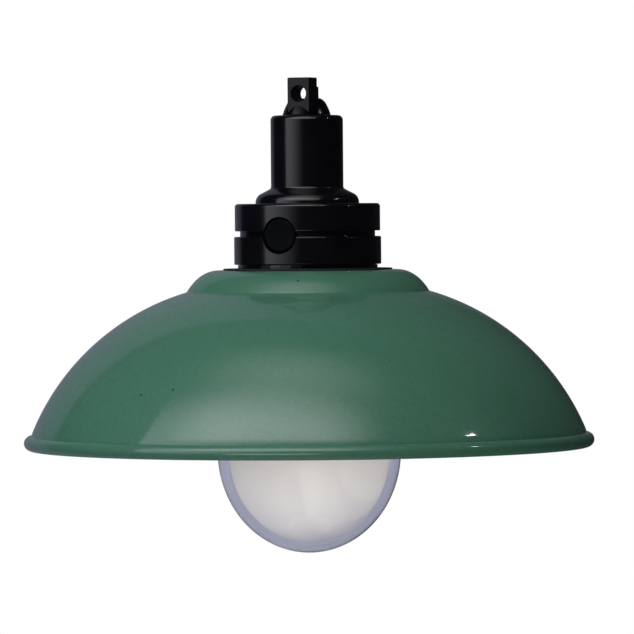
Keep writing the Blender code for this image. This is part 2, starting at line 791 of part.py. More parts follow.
def led_screw_hole(name, angle):
    ends = [on_circle(LED_SCREW_CIRCLE_R, angle, z) for z in (SPIGOT_BOTTOM + 4, LED_BOARD_TOP - 4)]
    return rod(name, SCREW_HOLE_R, *ends, sides=12)


def drill_for_leds(obj, through_wires=True):
    for i, angle in enumerate(led_screw_angles(), 1):
        boolean(obj, "DIFFERENCE", led_screw_hole(f"{obj.name}_hole_{i}", angle))
    if through_wires:
        boolean(obj, "DIFFERENCE", wire_hole(obj.name + "_wire_hole", HOLDER_TOP))


def globe_holder(lamp):
    """A plate under the spigot with a skirt that the globe screws into."""
    plate_bottom = HOLDER_TOP - HOLDER_PLATE
    skirt_inside = GLOBE_R + FIT
    corner = arc((HOLDER_R - 1.5, HOLDER_TOP - 1.5), 1.5, 90, 0, 3)
    profile = [
        (0, HOLDER_TOP),
        *corner,
        (HOLDER_R, HOLDER_BOTTOM + 0.4),
        (HOLDER_R - 0.4, HOLDER_BOTTOM),
        (skirt_inside, HOLDER_BOTTOM),
        (skirt_inside, plate_bottom),
        (0, plate_bottom),
    ]
    place = (0, 0, HOLDER_TOP)
    holder = solid_turned("globe_holder", profile, SATIN_BLACK, steps=40, place=place, parent=lamp)
    drill_for_leds(holder)


def light_engine(lamp):
    spreader_bottom = SPREADER_TOP - SPREADER_THICK
    board_bottom = LED_BOARD_TOP - BOARD_THICK
    discs = (
        ("heat_spreader", SPREADER_R, SPREADER_TOP, spreader_bottom, ALUMINIUM),
        ("led_board", LED_BOARD_R, LED_BOARD_TOP, board_bottom, WHITE_BOARD),
    )
    for name, radius, top, bottom, look in discs:
        profile = [(0, top), (radius, top), (radius, bottom), (0, bottom)]
        disc = solid_turned(name, profile, look, steps=32, place=(0, 0, top), parent=lamp)
        drill_for_leds(disc, through_wires=name == "heat_spreader")
    top = board_bottom - GAP
    edge = [(EMITTER_R, top), (EMITTER_R, top - 0.8), (EMITTER_R - 0.6, top - 1.2)]
    emitter = [(0, top), *edge, (0, top - 1.2)]
    solid_turned("led_emitter", emitter, PHOSPHOR, steps=24, parent=lamp)
    for i, angle in enumerate(led_screw_angles(), 1):
        place = on_circle(LED_SCREW_CIRCLE_R, angle, board_bottom - GAP)
        pan_screw(f"led_screw_{i}", place, 9.6, STEEL, lamp)


def cup_profile(outside, inside, flange=()):
    """A dome that is open at the top: up the inside from the axis, then down the outside."""
    return [*reversed(inside), *flange, *outside]


def diffuser(carriage):
    """The frosted inner dome hangs by its flange on the globe's rim, under a flat seal."""
    flange_r = GLOBE_R - FIT
    inside_r = DIFFUSER_R - DIFFUSER_WALL
    flange = [(inside_r, DIFFUSER_TOP), (flange_r, DIFFUSER_TOP), (flange_r, DIFFUSER_TOP - 1.2)]
    outside = [
        (DIFFUSER_R, DIFFUSER_TOP - 1.2),
        *half_ellipse(DIFFUSER_R, GLOBE_EQUATOR, DIFFUSER_BOTTOM, 6),
    ]
    inside = half_ellipse(inside_r, GLOBE_EQUATOR, DIFFUSER_BOTTOM + DIFFUSER_WALL, 6)
    profile = cup_profile(outside, inside, flange)
    solid_turned("diffuser", profile, FROSTED_PLASTIC, steps=32, place=(0, 0, GLOBE_TOP), parent=carriage)
    seal_inside = DIFFUSER_R + 1.5
    seal_bottom = SEAL_TOP - SEAL_THICK
    ring("globe_seal", seal_inside, flange_r, SEAL_TOP, seal_bottom, BLACK_RUBBER, parent=carriage)


def globe(turn):
    inside_r = GLOBE_R - GLOBE_WALL
    rim = [(inside_r, GLOBE_TOP), (GLOBE_R, GLOBE_TOP)]
    outside = half_ellipse(GLOBE_R, GLOBE_EQUATOR, GLOBE_BOTTOM, 7)
    inside = half_ellipse(inside_r, GLOBE_EQUATOR, GLOBE_BOTTOM + GLOBE_WALL, 7)
    profile = cup_profile(outside, inside, rim)
    solid_turned("globe", profile, CLEAR_PLASTIC, steps=40, place=(0, 0, GLOBE_TOP), parent=turn)


# ---------------------------------------------------------------- assembly


def main():
    clear_scene()
    lamp = empty("lamp", (0, 0, 0))
    hanging_lug(lamp)
    lug_fixings(lamp)
    upper_housing(lamp)
    lower_housing(lamp)
    base_plate(lamp)
    housing_screws(lamp)
    battery(lamp)
    driver_board(lamp)
    switch(lamp)
    button(lamp)
    charging_port(lamp)
    wires(lamp)
    shade(lamp)
    globe_holder(lamp)
    light_engine(lamp)
    globe_axis = empty("globe_axis", (0, 0, GLOBE_TOP), lamp)
    diffuser(globe_axis)
    globe(globe_axis)


main()
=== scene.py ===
"""Cordless hanging lamp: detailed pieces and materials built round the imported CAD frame.

Sizes in the profiles below are millimetres in the lamp's own frame, whose origin is the centre of
the lug's hole. Heights hang on the boxes of the CAD nodes that the pieces stand for.
"""

import math

import bmesh
import bpy
from mathutils import Matrix, Vector

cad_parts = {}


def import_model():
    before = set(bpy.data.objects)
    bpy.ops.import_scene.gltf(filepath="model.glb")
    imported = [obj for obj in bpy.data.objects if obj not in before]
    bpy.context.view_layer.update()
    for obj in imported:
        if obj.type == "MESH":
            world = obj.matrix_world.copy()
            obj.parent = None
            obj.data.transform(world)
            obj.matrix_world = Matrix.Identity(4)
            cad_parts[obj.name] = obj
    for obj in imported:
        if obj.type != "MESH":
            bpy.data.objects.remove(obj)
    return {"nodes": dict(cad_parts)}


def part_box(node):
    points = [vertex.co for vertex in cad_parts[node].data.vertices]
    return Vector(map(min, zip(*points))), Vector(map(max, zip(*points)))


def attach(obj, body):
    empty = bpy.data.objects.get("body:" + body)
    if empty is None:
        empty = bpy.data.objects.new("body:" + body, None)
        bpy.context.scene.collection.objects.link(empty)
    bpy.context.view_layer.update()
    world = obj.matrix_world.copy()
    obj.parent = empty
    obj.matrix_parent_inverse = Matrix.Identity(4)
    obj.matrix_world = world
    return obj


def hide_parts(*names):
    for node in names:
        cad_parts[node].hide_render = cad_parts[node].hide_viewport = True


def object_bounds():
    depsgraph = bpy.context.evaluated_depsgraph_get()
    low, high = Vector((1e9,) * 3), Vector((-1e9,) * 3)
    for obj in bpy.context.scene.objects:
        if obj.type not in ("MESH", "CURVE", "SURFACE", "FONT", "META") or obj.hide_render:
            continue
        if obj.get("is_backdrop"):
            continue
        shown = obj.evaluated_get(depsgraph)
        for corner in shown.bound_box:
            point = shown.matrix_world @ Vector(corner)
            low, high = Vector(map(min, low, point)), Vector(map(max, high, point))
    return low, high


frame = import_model()
NODES = frame["nodes"]


def plain(value):
    """Nested vectors as plain lists of numbers."""
    try:
        return [plain(v) for v in value]
    except TypeError:
        return float(value)


CAD_BOX = plain(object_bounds())

MM = 0.001
FINE = 1  # halves the number of facets while trying things
SHARP = math.radians(35)

# Sizes in millimetres that several pieces share.
WALL = 2.2
TUBE_R = 16.5
COLLAR_R = 30.75
POCKET_R = 7.9
POCKET_DEPTH = 6.5
PORT_ABOVE_FLAP = 1.55  # the port sits above the middle of its flap
SPIGOT_BORE_R = 20.8
SCREW_HOLE_R = 1.7
GLOBE_STRAIGHT = 64.6  # the globe's upright wall, from its rim down to where the dome starts

# The camera, and the lights placed round it.
CAMERA_AZIMUTH = 23.0  # degrees to the right of the button
CAMERA_ELEVATION = 1.1
CAMERA_DISTANCE = 2.5  # metres
CAMERA_ROLL = -0.45
LENS = 311.6
AIM_RIGHT, AIM_DOWN = 4.0, 0.8  # millimetres off the middle of the lamp
LIGHTS_CENTRE = Vector((0, 0, -0.11))


# ---------------------------------------------------------------- shapes


def size_of(node):
    """(radius, top, bottom) of a node that is round about Z, in millimetres."""
    low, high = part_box(node)
    return high.x / MM, high.z / MM, low.z / MM


def arc(centre, radius, start, end, count):
    """Points along a circle from one angle to another, both in degrees."""
    angles = [math.radians(start + (end - start) * i / count) for i in range(count + 1)]
    return [(centre[0] + radius * math.cos(a), centre[1] + radius * math.sin(a)) for a in angles]


def rounded(corners, count=4):
    """A profile whose corners, given as (radius, height, fillet), are replaced by small curves."""
    points = []
    for i, (x, y, fillet) in enumerate(corners):
        if not fillet or i in (0, len(corners) - 1):
            points.append((x, y))
            continue
        here = Vector((x, y))
        before = Vector(corners[i - 1][:2]) - here
        after = Vector(corners[i + 1][:2]) - here
        reach = min(fillet, before.length * 0.48, after.length * 0.48)
        a = here + before.normalized() * reach
        b = here + after.normalized() * reach
        for k in range(count + 1):
            t = k / count
            p = a * (1 - t) ** 2 + here * 2 * t * (1 - t) + b * t * t
            points.append((p.x, p.y))
    return points


def ring_profile(inside, outside, top, bottom, fillets):
    """The closed section of a flat ring. Its fillets run round from the upper inner edge."""
    middle = (inside, (top + bottom) / 2, 0)
    edges = [(inside, top), (outside, top), (outside, bottom), (inside, bottom)]
    corners = [(*edge, fillet) for edge, fillet in zip(edges, fillets)]
    return rounded([middle, *corners, middle])[:-1]


def quarter_dome(radius, equator, bottom, count):
    """A quarter of an ellipse, from its widest point down to the axis."""
    depth = equator - bottom
    angles = [math.pi / 2 * i / count for i in range(count)]
    return [(radius * math.cos(a), equator - depth * math.sin(a)) for a in angles] + [(0.0, bottom)]


def on_circle(radius, degrees):
    angle = math.radians(degrees)
    return (radius * math.cos(angle), radius * math.sin(angle))


def add_object(name, data):
    obj = bpy.data.objects.new(name, data)
    bpy.context.scene.collection.objects.link(obj)
    return obj


def add_mesh(name, bm):
    mesh = bpy.data.meshes.new(name)
    bm.to_mesh(mesh)
    bm.free()
    return add_object(name, mesh)


def shade_mesh(mesh, angle=SHARP):
    mesh.shade_smooth()
    mesh.set_sharp_from_angle(angle=angle)


def ring_of_points(bm, radius, height, steps):
    """One turn of vertices round Z, or a single one on the axis."""
    if radius < 1e-6:
        return [bm.verts.new((0, 0, height * MM))]
    reach = radius * MM
    turn = [2 * math.pi * i / steps for i in range(steps)]
    return [bm.verts.new((reach * math.cos(a), reach * math.sin(a), height * MM)) for a in turn]


def lathe(name, profile, steps=128, closed=False, sharp=SHARP):
    """Turn a profile round Z. It runs down the outside, and points at radius 0 lie on the axis."""
    steps //= FINE
    bm = bmesh.new()
    rings = [ring_of_points(bm, radius, height, steps) for radius, height in profile]
    pairs = list(zip(rings, rings[1:]))
    if closed:
        pairs.append((rings[-1], rings[0]))
    for upper, lower in pairs:
        for i in range(steps):
            j = (i + 1) % steps
            places = ((upper, i), (lower, i), (lower, j), (upper, j))
            unique = list(dict.fromkeys(ring[k % len(ring)] for ring, k in places))
            if len(unique) > 2:
                bm.faces.new(unique)
    bmesh.ops.recalc_face_normals(bm, faces=bm.faces)
    obj = add_mesh(name, bm)
    shade_mesh(obj.data, sharp)
    return obj


def block(name, size, centre, bevel=0.0, segments=3, along_y=False):
    """A box with rounded edges, or with only the four edges that run along Y rounded."""
    bm = bmesh.new()
    bmesh.ops.create_cube(bm, size=1.0)
    bmesh.ops.scale(bm, vec=Vector(size) * MM, verts=bm.verts)
    edges = list(bm.edges)
    if along_y:
        edges = [e for e in edges if abs(e.verts[0].co.y - e.verts[1].co.y) > size[1] * MM / 2]
    if bevel:
        settings = {"offset": bevel * MM, "segments": segments, "profile": 0.5, "affect": "EDGES"}
        bmesh.ops.bevel(bm, geom=edges, **settings)
    bmesh.ops.translate(bm, vec=Vector(centre) * MM, verts=bm.verts)
    return add_mesh(name, bm)


def pin(name, radius, place, low, high, steps=24):
    """An upright cylinder at a place (x, y)."""
    obj = lathe(name, [(0, high), (radius, high), (radius, low), (0, low)], steps)
    obj.data.transform(Matrix.Translation(Vector((*place, 0)) * MM))
    return obj


def turned_to_y(obj, place):
    """Lay a lathed shape along -Y, so that its top faces the button's side, at a place."""
    spin = Matrix.Rotation(math.pi / 2, 4, "X")
    obj.data.transform(Matrix.Translation(Vector(place) * MM) @ spin)
    return obj


def bake_modifiers(obj):
    """Give the object a new mesh with its modifiers applied."""
    graph = bpy.context.evaluated_depsgraph_get()
    made = bpy.data.meshes.new_from_object(obj.evaluated_get(graph))
    drawn = obj.data
    obj.modifiers.clear()
    obj.data = made
    bpy.data.meshes.remove(drawn)


def cut(obj, operation, *tools):
    """Boolean with each tool in turn, applied at once. The tools are removed."""
    for tool in tools:
        modifier = obj.modifiers.new("cut", "BOOLEAN")
        modifier.operation = operation
        modifier.solver = "EXACT"
        modifier.object = tool
    bake_modifiers(obj)
    for tool in tools:
        bpy.data.objects.remove(tool, do_unlink=True)
    shade_mesh(obj.data)
    return obj


def sector(name, width, top, bottom, inside, outside, corner):
    """A curved plate on the +Y side of a cylinder, with rounded corners."""
    edges = [(inside, top), (outside, top), (outside, bottom), (inside, bottom)]
    plate = lathe(name, edges, 240, closed=True)
    size = (width, 20.0, top - bottom)
    centre = (0, outside, (top + bottom) / 2)
    return cut(plate, "INTERSECT", block(name + "_window", size, centre, corner, 5, along_y=True))


# ---------------------------------------------------------------- materials


class Graph:
    """A short way to write one material's nodes."""

    def __init__(self, name):
        self.material = bpy.data.materials.new(name)
        self.material.use_nodes = True
        self.tree = self.material.node_tree
        self.shader = self.tree.nodes["Principled BSDF"]
        self.place = self.tree.nodes.new("ShaderNodeTexCoord").outputs["Object"]

    def node(self, kind, inputs=None, **settings):
        made = self.tree.nodes.new("ShaderNode" + kind)
        for key, value in settings.items():
            setattr(made, key, value)
        for key, value in (inputs or {}).items():
            self.put(made.inputs[key], value)
        return made

    def put(self, socket, value):
        if isinstance(value, bpy.types.NodeSocket):
            self.tree.links.new(value, socket)
        elif isinstance(value, tuple) and len(value) == 3 and len(socket.default_value) == 4:
            socket.default_value = (*value, 1.0)
        else:
            socket.default_value = value

    def set(self, **inputs):
        for key, value in inputs.items():
            self.put(self.shader.inputs[key.replace("_", " ")], value)

    def noise(self, scale, detail=3.0, rough=0.5, squash=None):
        vector = self.place
        if squash:
            inputs = {0: self.place, 1: squash}
            vector = self.node("VectorMath", inputs, operation="MULTIPLY").outputs[0]
        inputs = {"Vector": vector, "Scale": scale, "Detail": detail, "Roughness": rough}
        return self.node("TexNoise", inputs).outputs["Fac"]

    def cells(self, scale):
        """(distance to the cell's centre, the cell's own random number, another of them)."""
        made = self.node("TexVoronoi", {"Vector": self.place, "Scale": scale})
        split = self.node("SeparateColor", {0: made.outputs["Color"]})
        return made.outputs["Distance"], split.outputs[0], split.outputs[1]

    def span(self, value, low, high, to_low=0.0, to_high=1.0):
        inputs = {"Value": value, 1: low, 2: high, 3: to_low, 4: to_high}
        return self.node("MapRange", inputs).outputs[0]

    def blend(self, amount, a, b):
        made = self.node("Mix", data_type="RGBA")
        self.put(made.inputs["Factor"], amount)
        self.put(made.inputs[6], a)
        self.put(made.inputs[7], b)
        return made.outputs[2]

    def math(self, operation, a, b=0.0):
        return self.node("Math", {0: a, 1: b}, operation=operation).outputs[0]

    def height(self):
        return self.node("SeparateXYZ", {0: self.place}).outputs[2]

    def bump(self, height, distance, strength=1.0, under=None):
        inputs = {"Height": height, "Distance": distance, "Strength": strength}
        if under is not None:
            inputs["Normal"] = under
        return self.node("Bump", inputs).outputs[0]


def moulded_plastic(name, colour, light, rough, grain, grain_depth, specular=0.5):
    """Injection moulded plastic: a faint grain, cloudy gloss and a few dust specks."""
    g = Graph(name)
    cloud = g.noise(60, 4)
    streak = g.noise(240, 2, squash=(1.0, 1.0, 0.18))
    specks = g.span(g.cells(900)[0], 0.05, 0.02, 0.0, 0.55)
    shown = g.math("MULTIPLY", specks, g.span(g.noise(35), 0.52, 0.66))
    base = g.blend(g.span(cloud, 0.35, 0.7), colour, light)
    g.set(
        Base_Color=g.blend(shown, base, (0.10, 0.10, 0.11)),
        Roughness=g.span(g.math("ADD", cloud, streak), 0.7, 1.3, rough * 0.85, rough * 1.2),
        IOR=1.5,
        Specular_IOR_Level=specular,
    )
    fine = g.bump(g.noise(grain, 2), grain_depth)
    g.set(Normal=g.bump(g.noise(90, 2), 0.00006, under=fine))
    return g.material


def enamel(name, colour, light, dark, specks, sheen_rough, coat):
    """Stoved enamel on steel: orange peel, a pearly base coat under a clear gloss, and pinholes."""
    g = Graph(name)
    mottle = g.noise(420, 3, 0.6)
    base = g.blend(g.span(g.noise(14, 3), 0.3, 0.7), colour, light)
    base = g.blend(g.span(mottle, 0.42, 0.72, 0.0, 0.35), base, dark)
    flakes = g.cells(2600)[2]
    pearl = tuple(min(0.9, 1.5 * c) for c in light)
    base = g.blend(g.span(flakes, 0.7, 1.0, 0.0, 0.35), base, pearl)
    distance, chance, _ = g.cells(125)
    holes = g.math("MULTIPLY", g.span(distance, 0.085, 0.055, 0.0, 0.9), g.span(chance, 0.86, 0.88))
    pinholes = g.math("MULTIPLY", holes, specks)
    g.set(
        Base_Color=g.blend(pinholes, base, (0.012, 0.012, 0.010)),
        Roughness=g.span(mottle, 0.3, 0.7, sheen_rough * 0.92, sheen_rough * 1.12),
        IOR=1.5,
        Specular_IOR_Level=0.25,
        Coat_Weight=coat,
        Coat_Roughness=0.06,
        Coat_IOR=1.5,
    )
    peel = g.bump(g.noise(260, 2), 0.00003)
    wave = g.bump(g.noise(30, 2), 0.00035, under=peel)
    g.set(Normal=g.bump(pinholes, -0.0002, under=wave))
    return g.material


def metal(name, colour, rough):
    """Brushed across its height, with a dull stain here and there."""
    g = Graph(name)
    lines = g.noise(500, 3, squash=(1.0, 1.0, 12.0))
    dull = tuple(c * 0.62 for c in colour)
    g.set(
        Base_Color=g.blend(g.span(g.noise(120, 4), 0.45, 0.75), colour, dull),
        Metallic=1.0,
        Roughness=g.span(lines, 0.3, 0.7, rough * 0.8, rough * 1.35),
        Normal=g.bump(lines, 0.00004),
    )
    return g.material


def coated(name, colour, other, rough, scale=300, depth=0.00003):
    """A plain coated or dyed surface: two close colours in a fine mottle."""
    g = Graph(name)
    spots = g.noise(scale, 4)
    g.set(
        Base_Color=g.blend(g.span(spots, 0.35, 0.7), colour, other),
        Roughness=g.span(g.noise(scale * 0.4), 0.3, 0.7, rough * 0.85, rough * 1.2),
        Normal=g.bump(spots, depth),
    )
    return g.material


def circuit_board(name, mask, track):
    """Solder mask over tracks, which show as a lighter branching pattern."""
    g = Graph(name)
    inputs = {"Vector": g.place, "Scale": 420.0}
    cells = g.node("TexVoronoi", inputs, feature="DISTANCE_TO_EDGE")
    lines = g.span(cells.outputs["Distance"], 0.05, 0.09, 1.0, 0.0)
    g.set(
        Base_Color=g.blend(lines, mask, track),
        Roughness=g.span(g.noise(200), 0.3, 0.7, 0.32, 0.45),
        Normal=g.bump(lines, 0.00004),
    )
    return g.material


def lets_lamps_through(g):
    """Rays from the lamps pass straight through this shell, so that they reach what is inside it."""
    shadow = g.node("LightPath").outputs["Is Shadow Ray"]
    clear = g.node("BsdfTransparent").outputs[0]
    mix = g.node("MixShader", {0: shadow, 1: g.shader.outputs[0], 2: clear})
    g.put(g.tree.nodes["Material Output"].inputs["Surface"], mix.outputs[0])


def clear_plastic():
    g = Graph("clear_plastic")
    haze = g.noise(70, 3)
    g.set(
        Base_Color=g.blend(g.span(haze, 0.35, 0.7), (0.93, 0.93, 0.97), (0.90, 0.90, 0.96)),
        Roughness=g.span(haze, 0.3, 0.7, 0.03, 0.07),
        IOR=1.49,
        Transmission_Weight=1.0,
        Normal=g.bump(g.noise(22, 2), 0.0002),
    )
    lets_lamps_through(g)
    return g.material


def frosted_plastic():
    """Milky plastic: it lets light through without showing what is behind it. Its colour carries a
    painted glow: warm cream near the top, for the LED's yellow light, cooling downwards to grey.
    """
    g = Graph("frosted_plastic")
    _, top, bottom = size_of("globe")
    frost = g.noise(2600, 2)
    # painted glow: the LED's warm light is painted into the colour near the top and fades to a cool
    # grey towards the bottom
    low = g.span(g.height(), (top - GLOBE_STRAIGHT) * MM, bottom * MM)
    base = g.blend(g.span(g.noise(18, 3), 0.35, 0.7), (0.88, 0.86, 0.80), (0.91, 0.89, 0.84))
    g.set(
        Base_Color=g.blend(low, base, (0.86, 0.86, 0.87)),
        Roughness=g.span(frost, 0.3, 0.7, 0.48, 0.62),
        IOR=1.45,
        Transmission_Weight=0.12,
        Normal=g.bump(frost, 0.00006),
    )
    return g.material


def housing_black():
    return moulded_plastic(
        "black_plastic",
        colour=(0.0022, 0.0022, 0.0035),
        light=(0.004, 0.004, 0.006),
        rough=0.15,
        grain=1800,
        grain_depth=0.000008,
    )


def lug_black():
    return moulded_plastic(
        "lug_black",
        colour=(0.0022, 0.0022, 0.0035),
        light=(0.004, 0.004, 0.006),
        rough=0.2,
        grain=1800,
        grain_depth=0.00001,
        specular=0.3,
    )


def satin_black():
    return moulded_plastic(
        "satin_black",
        colour=(0.0025, 0.003, 0.004),
        light=(0.004, 0.005, 0.006),
        rough=0.5,
        grain=1400,
        grain_depth=0.00004,
        specular=0.25,
    )


def button_black():
    return moulded_plastic(
        "button_black",
        colour=(0.0022, 0.0028, 0.004),
        light=(0.003, 0.004, 0.005),
        rough=0.4,
        grain=1400,
        grain_depth=0.00003,
        specular=0.03,
    )


def green_enamel():
    return enamel(
        "green_enamel",
        colour=(0.060, 0.186, 0.119),
        light=(0.068, 0.205, 0.132),
        dark=(0.045, 0.145, 0.091),
        specks=1.0,
        sheen_rough=0.45,
        coat=1.0,
    )


def white_enamel():
    return enamel(
        "white_enamel",
        colour=(0.80, 0.80, 0.78),
        light=(0.84, 0.84, 0.82),
        dark=(0.74, 0.74, 0.72),
        specks=0.5,
        sheen_rough=0.38,
        coat=0.5,
    )


# ---------------------------------------------------------------- pieces


def stands_for(obj, node, body, material_slot, *materials):
    """Put a piece in place of one CAD node: it takes the node's body, and the node is hidden. The
    material_slot argument is not used.

    Its large faces set the normals, so that flats stay flat beside their rounded edges.
    """
    modifier = obj.modifiers.new("normals", "WEIGHTED_NORMAL")
    modifier.mode = "FACE_AREA"
    modifier.keep_sharp = True
    bake_modifiers(obj)
    for material in materials:
        obj.data.materials.append(material)
    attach(obj, body)
    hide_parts(node)
    return obj


def button_place():
    """(height, distance of its face in front of the lamp's axis), in millimetres."""
    low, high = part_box("button")
    return (low.z + high.z) / 2 / MM, -low.y / MM


def button_pocket():
    """The cutter for the button's pocket, with a rounded bevel at its mouth."""
    height, face = button_place()
    outside = 4.0
    end = 0.2 - POCKET_DEPTH
    profile = rounded(
        [
            (0, outside, 0),
            (POCKET_R + 0.5, outside, 0),
            (POCKET_R + 0.5, 0.6, 0.2),
            (POCKET_R, -0.4, 0.3),
            (POCKET_R, end, 0),
            (0, end, 0),
        ]
    )
    return turned_to_y(lathe("pocket", profile, 96), (0, -face, height))


def lug_dome(radius, base):
    """The low dome under the lug's post."""
    profile = [
        (0, -2.0, 0),
        (6.4, -2.0, 0.9),
        (8.3, -3.5, 1.2),
        (9.4, -5.4, 1.2),
        (10.3, -7.4, 1.2),
        (radius, base, 0.2),
        (0, base, 0),
    ]
    return lathe("lug", rounded(profile, 6), 96)


def lug_hole(front):
    """The cutter for the cross hole, whose mouth flares out at the lug's front."""
    radius, half = 3.55, 22.0
    mouth = front + 0.05
    flare = 0.35
    profile = [
        (0, half),
        (radius + half - mouth + flare, half),
        (radius + flare, mouth),
        (radius + 0.1, mouth - 0.25),
        (radius, mouth - 0.6),
        (radius, -half),
        (0, -half),
    ]
    return turned_to_y(lathe("hole", profile, 64), (0, 0, 0))


def hanging_lug(plastic):
    """A square post with a cross hole, standing forward on a low dome, and its stud."""
    dome_r, top, stud_end = size_of("hanging_lug")
    base = top - 16.9
    foot = base + 1.0
    front = 9.4
    width, depth, edge = 11.0, 9.0, 0.45
    middle = (0, depth / 2 - front, (top + foot) / 2)
    post = block("post", (width, depth, top - foot), middle, edge)

    heel_top, heel_front, heel_back = 3.2, depth - 2.0 - front, 11.1 - front
    size = (width - 0.2, heel_back - heel_front, heel_top - foot)
    middle = (0, (heel_front + heel_back) / 2, (heel_top + foot) / 2)
    heel = block("heel", size, middle, edge)

    shank_width, shank_end = 8.0, base - 2.7
    size = (shank_width, shank_width, foot - shank_end)
    shank = block("shank", size, (0, 0, (foot + shank_end) / 2), 0.3)
    stud_r, stud_top = 3.9, shank_end + 1
    profile = [(0, stud_top, 0), (stud_r, stud_top, 0), (stud_r, stud_end, 0.5), (0, stud_end, 0)]
    stud = lathe("stud", rounded(profile), 48)

    lug = lug_dome(dome_r, base)
    cut(lug, "UNION", post, heel, shank, stud)
    cut(lug, "DIFFERENCE", lug_hole(front))
    return stands_for(lug, "hanging_lug", "lamp", "black_plastic", plastic)


def upper_profile(radius, top):
    """The battery tube, its flare and the upper ring, down the outside and back up the inside."""
    tube_end = top - 32.3
    ring_top = top - 40.1
    ring_bottom = top - 52.6
    tube_corner, ring_corner, flare_r = 2.2, 1.5, 4.5
    inside_r, web_r = 31.05, 21.6
    under = ring_top - WALL - 0.1
    crown = top - 2.5
    inside = [
        (radius, ring_bottom + 3, 0),
        (radius, ring_bottom, 0.5),
        (inside_r, ring_bottom, 0.15),
        (inside_r, under, 0),
        (web_r, under, 0),
        (web_r, under + 3.2, 0),
        (TUBE_R - WALL, tube_end - 1.5, 0),
        (TUBE_R - WALL, crown, 0),
        (0, crown, 0),
    ]
    return [
        (0, top),
        (TUBE_R - 4.2, top),
        *arc((TUBE_R - tube_corner, top - tube_corner), tube_corner, 90, 0, 8),
        *arc((TUBE_R + 1.5, tube_end), 1.5, 180, 243, 6),
        *arc((19.1, ring_top + 0.5), flare_r, 62, 0, 8),
        (23.6, ring_top + 0.12),
        (23.75, ring_top),
        *arc((radius - ring_corner, ring_top - ring_corner), ring_corner, 90, 0, 6),
        *rounded(inside),
    ]


def upper_housing(plastic):
    """Battery tube, flare and upper ring, with four screw bosses and the button's pocket."""
    radius, top, boss_end = size_of("upper_housing")
    boss_top = top - 41.1
    places = [on_circle(24.8, angle) for angle in (45, 135, 225, 315)]
    housing = lathe("housing_upper", upper_profile(radius, top), 160)
    bosses = [pin(f"boss_{i}", 3.0, p, boss_end, boss_top) for i, p in enumerate(places)]
    cut(housing, "UNION", *bosses)
    pilots = [
        pin(f"pilot_{i}", SCREW_HOLE_R, p, boss_end - 2, boss_end + 12) for i, p in enumerate(places)
    ]
    shank_hole = block("shank_hole", (8.6, 8.6, 8.0), (0, 0, top - 1))
    cut(housing, "DIFFERENCE", shank_hole, button_pocket(), *pilots)
    return stands_for(housing, "upper_housing", "lamp", "black_plastic", plastic)


def lower_profile(radius, collar_top, bottom):
    """The lower ring, and the collar that shows as the groove between the rings."""
    ring_top = bottom + 12.7
    collar_inside = COLLAR_R - 2.15
    ring_inside = radius - 2.5
    corners = [
        (collar_inside, collar_top, 0),
        (COLLAR_R, collar_top, 0.4),
        (COLLAR_R, ring_top, 0.25),
        (radius, ring_top, 0.7),
        (radius, bottom, 0.6),
        (ring_inside, bottom, 0.3),
        (ring_inside, ring_top - 2.0, 0.4),
        (collar_inside, ring_top - 1.0, 0.4),
        (collar_inside, collar_top, 0),
    ]
    return rounded(corners)[1:]


def lower_housing(plastic):
    """The lower ring with the button's pocket, the flap's recess and the charging port's mouth."""
    radius, collar_top, bottom = size_of("lower_housing")
    housing = lathe("housing_lower", lower_profile(radius, collar_top, bottom), 160, closed=True)
    low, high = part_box("port_flap")
    gap = 0.3
    width = (high.x - low.x) / MM + 2 * gap
    top, end = high.z / MM + gap, low.z / MM - gap
    recess = sector("recess", width, top, end, 31.7, radius + 3, 1.6)
    port_height = (top + end) / 2 + PORT_ABOVE_FLAP
    mouth = block("mouth", (9.8, 10, 4.4), (0, radius, port_height), 1.2, 4)
    cut(housing, "DIFFERENCE", button_pocket(), recess, mouth)
    return stands_for(housing, "lower_housing", "lamp", "black_plastic", plastic)


def port_flap(rubber):
    """A curved rubber flap with a plug on its back."""
    low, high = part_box("port_flap")
    outside, top, bottom = high.y / MM, high.z / MM, low.z / MM
    inside = outside - 1.5
    flap = sector("flap", (high.x - low.x) / MM, top, bottom, inside, outside, 1.4)
    plug_height = (top + bottom) / 2 + PORT_ABOVE_FLAP
    plug = block("plug", (9.0, 2.2, 3.4), (0, inside - 0.35, plug_height), 1.0, 4)
    cut(flap, "UNION", plug)
    return stands_for(flap, "port_flap", "port_flap", "rubber", rubber)


def button(plastic):
    """A shallow dished cap with a flange behind the housings' wall."""
    height, face = button_place()
    flange_r = size_of("button")[0]
    radius, skirt_r, stem_r = 7.6, 6.2, 2.0
    flange, end, under = -5.5, -6.5, -1.6
    dish = [
        (0, -0.35),
        (2.0, -0.33),
        (3.6, -0.27),
        (5.2, -0.13),
        (6.2, -0.02),
        (6.6, 0.0),
        (7.0, -0.06),
        (7.3, -0.2),
        (7.5, -0.42),
        (radius, -0.75),
    ]
    back = [
        (radius, -3.0, 0),
        (radius, flange, 0.3),
        (flange_r, flange, 0.3),
        (flange_r, end, 0.3),
        (skirt_r, end, 0.2),
        (skirt_r, under, 0.3),
        (stem_r, under, 0.3),
        (stem_r, end, 0.2),
        (0, end, 0),
    ]
    cap = lathe("button_cap", dish + rounded(back), 96)
    turned_to_y(cap, (0, -face, height))
    return stands_for(cap, "button", "button", "satin_black", plastic)


